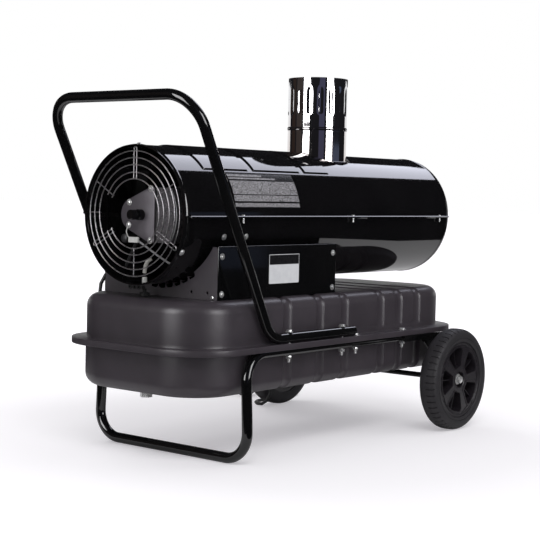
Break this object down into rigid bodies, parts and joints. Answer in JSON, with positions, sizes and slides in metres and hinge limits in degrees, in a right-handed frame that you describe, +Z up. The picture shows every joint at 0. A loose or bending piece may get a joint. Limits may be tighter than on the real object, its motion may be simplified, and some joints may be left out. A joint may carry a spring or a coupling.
{
  "type": "indirect fired diesel air heater",
  "caption": "Wheeled diesel air heater with a round black body, upright stainless flue, wire fan guard, pressed fuel tank and a bent tube frame with push handle.",
  "frame": {"origin": "on the floor, under the middle of the heater without its cord", "axes": "+X runs along the body from the fan end to the hot air outlet, +Y towards the operator's panel, +Z up"},
  "size_m": [0.8965, 0.6166, 0.7067],
  "materials": {
    "tank_paint": "satin dark grey paint",
    "gloss_paint": "gloss black paint",
    "frame_paint": "gloss black paint on tube",
    "box_paint": "satin grey paint",
    "zinc": "bright zinc plate",
    "plated_wire": "nickel plated wire",
    "stainless": "mirror stainless",
    "heat_steel": "heat tinted stainless",
    "dark_metal": "satin black paint",
    "casting": "die cast",
    "brass_fitting": "turned brass",
    "moulding": "moulded black",
    "lens": "clear red moulding",
    "clear_tube": "clear fuel tube, slightly yellow",
    "board": "lacquered board",
    "seal_rubber": "smooth black rubber",
    "cord_jacket": "rubber jacketed cable",
    "tyre_rubber": "solid black rubber"
  },
  "bodies": {
    "chassis": {"tank_upper": "tank_paint", "tank_lower": "tank_paint", "drain_plug": "zinc", "drain_seal": "seal_rubber", "fuel_strainer": "zinc", "fuel_gauge": "moulding", "fuel_outlet": "brass_fitting", "fuel_hose": "clear_tube", "air_hose": "seal_rubber", "support_frame": "frame_paint", "push_handle": "frame_paint", "axle_bracket_near": "frame_paint", "axle_bracket_far": "frame_paint", "axle": "zinc", "axle_nut_near": "zinc", "axle_nut_far": "zinc", "frame_bolt_near_1": "zinc", "frame_bolt_near_2": "zinc", "frame_bolt_near_3": "zinc", "frame_bolt_near_4": "zinc", "frame_bolt_far_1": "zinc", "frame_bolt_far_2": "zinc", "frame_bolt_far_3": "zinc", "frame_bolt_far_4": "zinc", "box_chassis": "box_paint", "side_panel": "gloss_paint", "control_panel": "gloss_paint", "switch_bezel": "moulding", "thermostat_body": "dark_metal", "indicator_lamp": "lens", "reset_sleeve": "moulding", "cord_gland": "moulding", "power_cord": "cord_jacket", "cord_coil": "cord_jacket", "power_plug": "cord_jacket", "upper_shell": "gloss_paint", "lower_shell": "gloss_paint", "combustion_chamber": "heat_steel", "flue_pipe": "stainless", "fan_guard": "plated_wire", "motor": "dark_metal", "motor_bracket": "dark_metal", "pump_body": "casting", "pump_cover": "box_paint", "filter_cover": "moulding", "burner_head": "dark_metal", "ignition_transformer": "dark_metal", "control_board": "board"},
    "wheel_near": {"tyre_near": "tyre_rubber", "rim_near": "moulding"},
    "wheel_far": {"tyre_far": "tyre_rubber", "rim_far": "moulding"},
    "fan_rotor": {"fan": "casting", "motor_shaft": "zinc"},
    "switch_rocker": {"rocker": "moulding"},
    "thermostat_dial": {"thermostat_knob": "moulding"},
    "reset_plunger": {"reset_button": "lens"},
    "tank_cap": {"filler_cap": "moulding"},
    "pressure_dial": {"pressure_knob": "moulding"}
  },
  "joints": [
    {"name": "wheel_near_spin", "type": "hinge", "parent": "chassis", "child": "wheel_near", "pos_m": [0.3105, -0.22845, 0.1033], "axis": [0, 1, 0], "continuous": true},
    {"name": "wheel_far_spin", "type": "hinge", "parent": "chassis", "child": "wheel_far", "pos_m": [0.3105, 0.22845, 0.1033], "axis": [0, 1, 0], "continuous": true},
    {"name": "fan_spin", "type": "hinge", "parent": "chassis", "child": "fan_rotor", "pos_m": [-0.1773, 0, 0.4323], "axis": [1, 0, 0], "continuous": true},
    {"name": "rocker_tilt", "type": "hinge", "parent": "chassis", "child": "switch_rocker", "pos_m": [-0.0573, 0.1393, 0.337], "axis": [1, 0, 0], "range_deg": [0, 18]},
    {"name": "thermostat_turn", "type": "hinge", "parent": "chassis", "child": "thermostat_dial", "pos_m": [-0.1173, 0.1393, 0.337], "axis": [0, 1, 0], "range_deg": [0, 270]},
    {"name": "reset_press", "type": "slide", "parent": "chassis", "child": "reset_plunger", "axis": [0, -1, 0], "range_m": [0, 0.0025], "stiffness_N_per_m": 600, "springref_m": -0.0005},
    {"name": "cap_lift", "type": "slide", "parent": "chassis", "child": "tank_cap", "axis": [0, 0, 1], "range_m": [0, 0.02]},
    {"name": "pressure_turn", "type": "hinge", "parent": "chassis", "child": "pressure_dial", "pos_m": [-0.3923, 0, 0.4323], "axis": [1, 0, 0], "range_deg": [-180, 180]}
  ]
}
